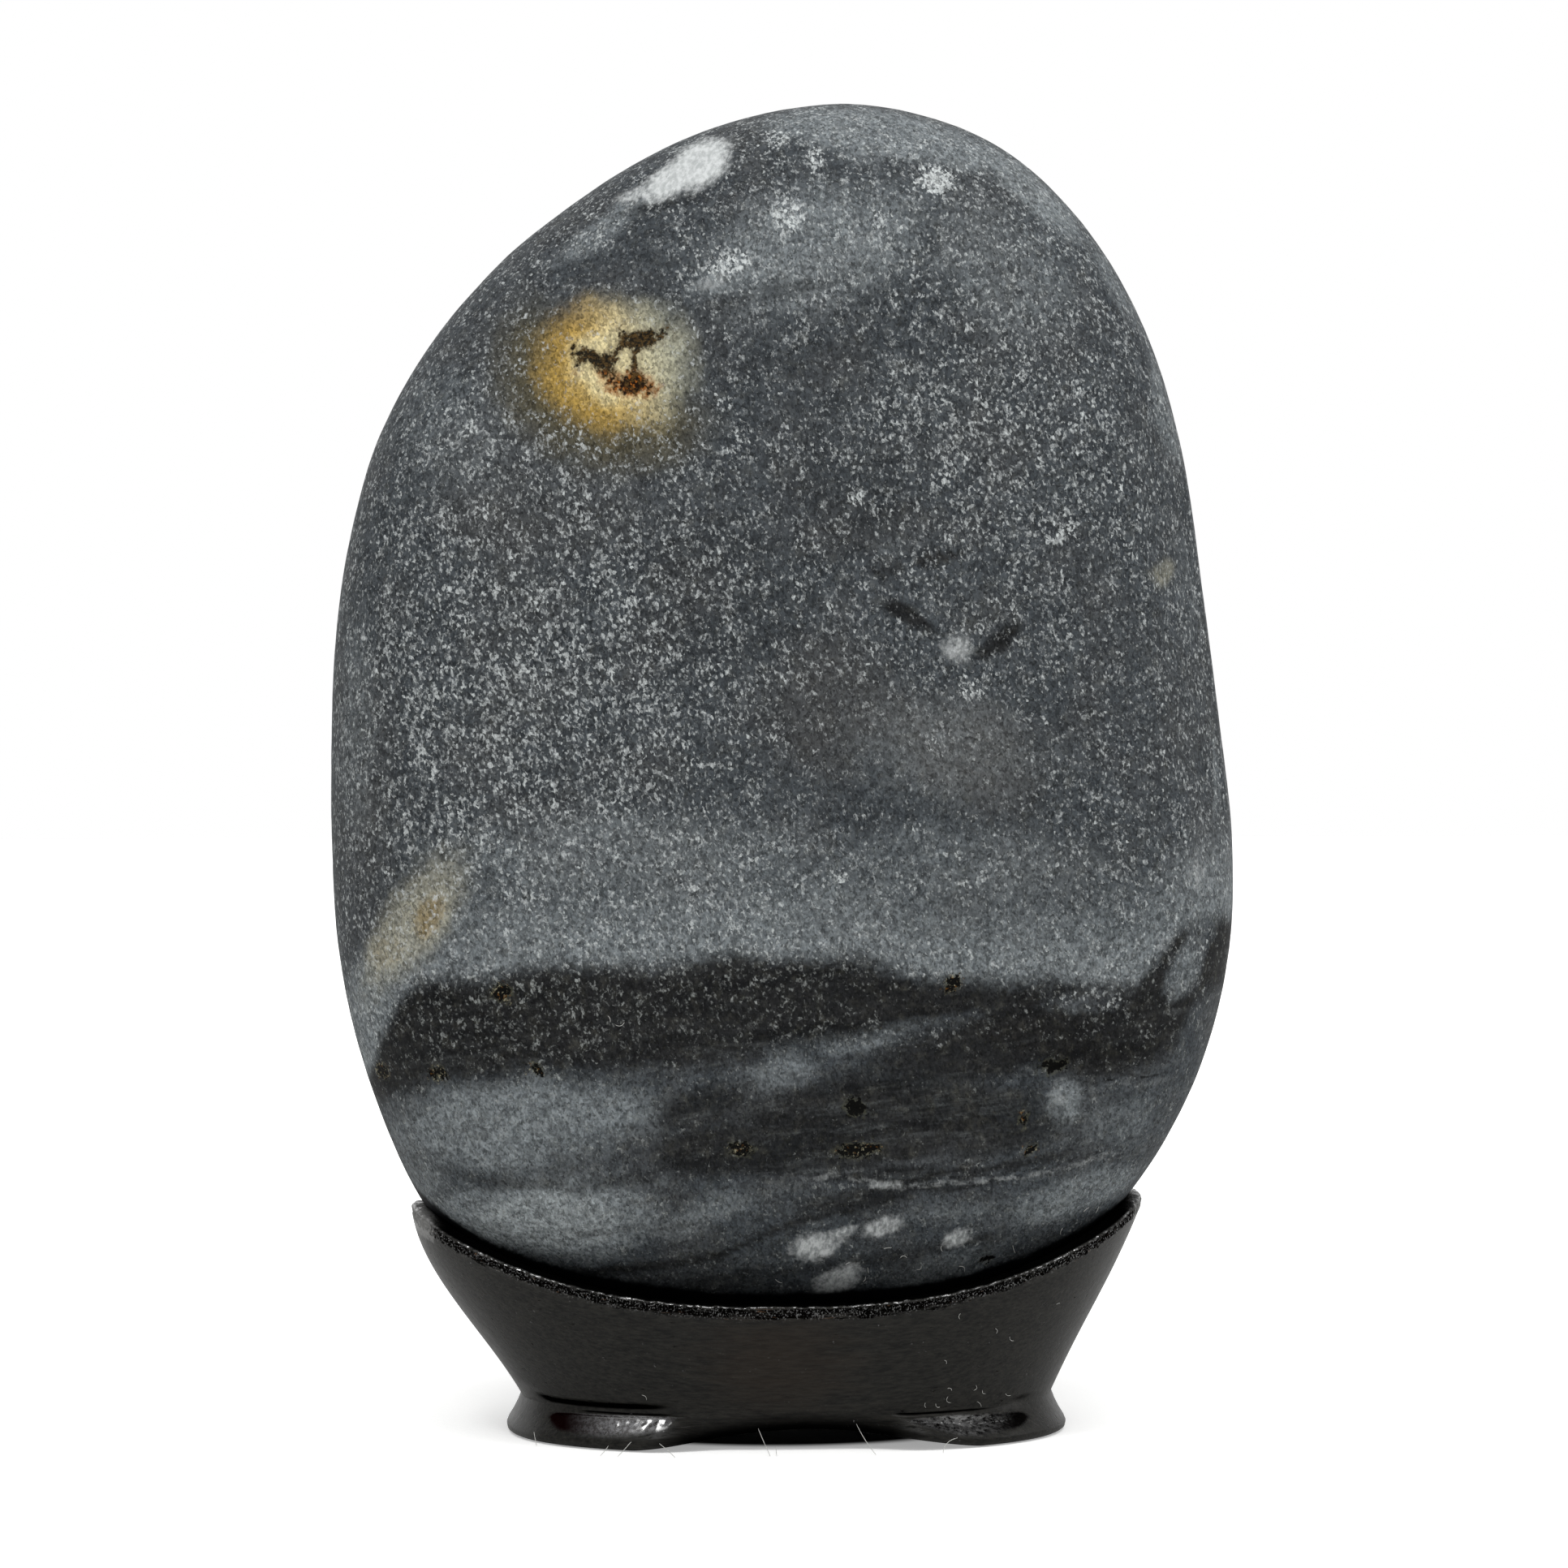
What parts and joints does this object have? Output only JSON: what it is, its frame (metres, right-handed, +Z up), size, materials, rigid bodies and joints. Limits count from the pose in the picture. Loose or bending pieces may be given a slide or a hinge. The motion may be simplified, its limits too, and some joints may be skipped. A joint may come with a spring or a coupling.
{
  "type": "scholar's rock on a carved stand",
  "caption": "Upright oval water-worn stone that rests in the fitted seat of a tapered, low, carved wooden stand with end feet.",
  "frame": {"origin": "on the surface the stand rests on, under the middle of the whole object's box", "axes": "+Z up, along the stone's height; +X along the stand's long side; -Y is the stone's show face"},
  "size_m": [0.1023, 0.0432, 0.1503],
  "materials": {
    "stone": "water-worn, matt to satin, dark grey with pale speckles, an ochre spot and a darker bed near the foot",
    "stand": "black satin lacquer over fine-pored hardwood, worn at the rim"
  },
  "bodies": {
    "root": {"stone": "stone", "stand": "stand"}
  },
  "joints": []
}
